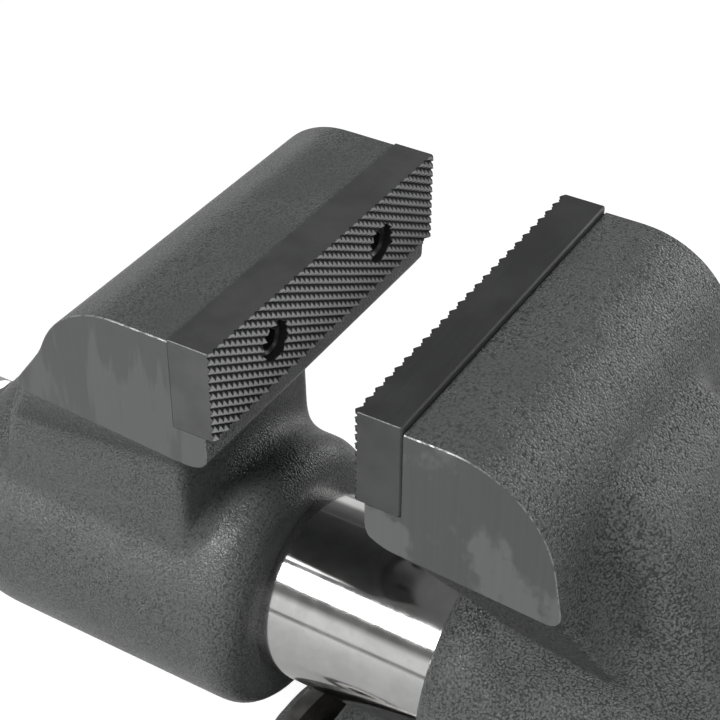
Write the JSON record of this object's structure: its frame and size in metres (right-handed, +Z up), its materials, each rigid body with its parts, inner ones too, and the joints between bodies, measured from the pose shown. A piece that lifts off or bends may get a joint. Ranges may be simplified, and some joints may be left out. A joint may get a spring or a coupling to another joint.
{
  "type": "engineers vise",
  "caption": "Heavy bench vise with a round slide bar in a closed barrel, toothed jaw inserts, a screw with a sliding handle, and a swivel base with lock levers.",
  "frame": {"origin": "on the bench, under the middle of the swivel base and at the centre of its bench bolt circle", "axes": "+X along the slide bar from the handle to the closed end of the barrel; +Z up; -Y the near side"},
  "size_m": [0.576, 0.3326, 0.262],
  "materials": {
    "casting_paint": "coarse orange-peel enamel over cast iron, dark grey, satin",
    "milled_paint": "same enamel, smooth",
    "insert_steel": "black-oxide hardened steel, satin, teeth worn lighter at the tips",
    "ground_steel": "ground and polished bright steel",
    "black_screws": "black-oxide steel",
    "bright_steel": "turned bright steel, satin",
    "zinc_steel": "zinc-plated steel",
    "iron_nut": "machined cast iron, oiled",
    "rubber_black": "matt black rubber"
  },
  "bodies": {
    "base": {"swivel_base": "casting_paint"},
    "fixed": {"rear_casting": "casting_paint", "rear_insert": "insert_steel", "rear_insert_screws": "black_screws", "guide_key": "bright_steel", "key_screw": "black_screws", "bar_wiper": "rubber_black", "spindle_nut": "iron_nut", "nut_washer": "zinc_steel", "nut_bolt": "zinc_steel", "rear_cap": "milled_paint", "lock_bolt_near": "zinc_steel", "lock_bolt_far": "zinc_steel", "lock_washer_near": "zinc_steel", "lock_washer_far": "zinc_steel"},
    "lock_near": {"lock_hub_near": "zinc_steel", "lock_rod_near": "zinc_steel", "lock_knob_near": "zinc_steel"},
    "lock_far": {"lock_hub_far": "zinc_steel", "lock_rod_far": "zinc_steel", "lock_knob_far": "zinc_steel"},
    "moving": {"front_casting": "casting_paint", "front_insert": "insert_steel", "front_insert_screws": "black_screws", "slide_bar": "ground_steel", "bar_dowel": "bright_steel", "thrust_washer_inner": "bright_steel", "thrust_bearing": "bright_steel", "thrust_washer_outer": "bright_steel"},
    "spindle": {"spindle": "bright_steel", "spindle_collar": "bright_steel", "collar_pin": "bright_steel"},
    "handle": {"handle_bar": "bright_steel", "handle_knob_near": "bright_steel", "handle_knob_far": "bright_steel", "handle_ring_near": "rubber_black", "handle_ring_far": "rubber_black"}
  },
  "joints": [
    {"name": "swivel", "type": "hinge", "parent": "base", "child": "fixed", "pos_m": [0, 0, 0.0442], "axis": [0, 0, 1], "continuous": true},
    {"name": "spindle_turn", "type": "hinge", "parent": "moving", "child": "spindle", "pos_m": [-0.229, 0, 0.12], "axis": [-1, 0, 0], "range_deg": [-3153, 11196]},
    {"name": "jaw_slide", "type": "slide", "parent": "fixed", "child": "moving", "axis": [-1, 0, 0], "range_m": [-0.0445, 0.158]},
    {"name": "handle_slide", "type": "slide", "parent": "spindle", "child": "handle", "axis": [0, 0.8192, -0.5736], "range_m": [-0.113, 0.113]},
    {"name": "lever_near", "type": "hinge", "parent": "fixed", "child": "lock_near", "pos_m": [0, -0.084, 0.0617], "axis": [0, 0, 1], "range_deg": [-60, 60]},
    {"name": "lever_far", "type": "hinge", "parent": "fixed", "child": "lock_far", "pos_m": [0, 0.084, 0.0617], "axis": [0, 0, 1], "range_deg": [-60, 60]}
  ],
  "couplings": [
    {"joint": "jaw_slide", "follows": "spindle_turn", "m_per_rad": 0.00080851}
  ]
}
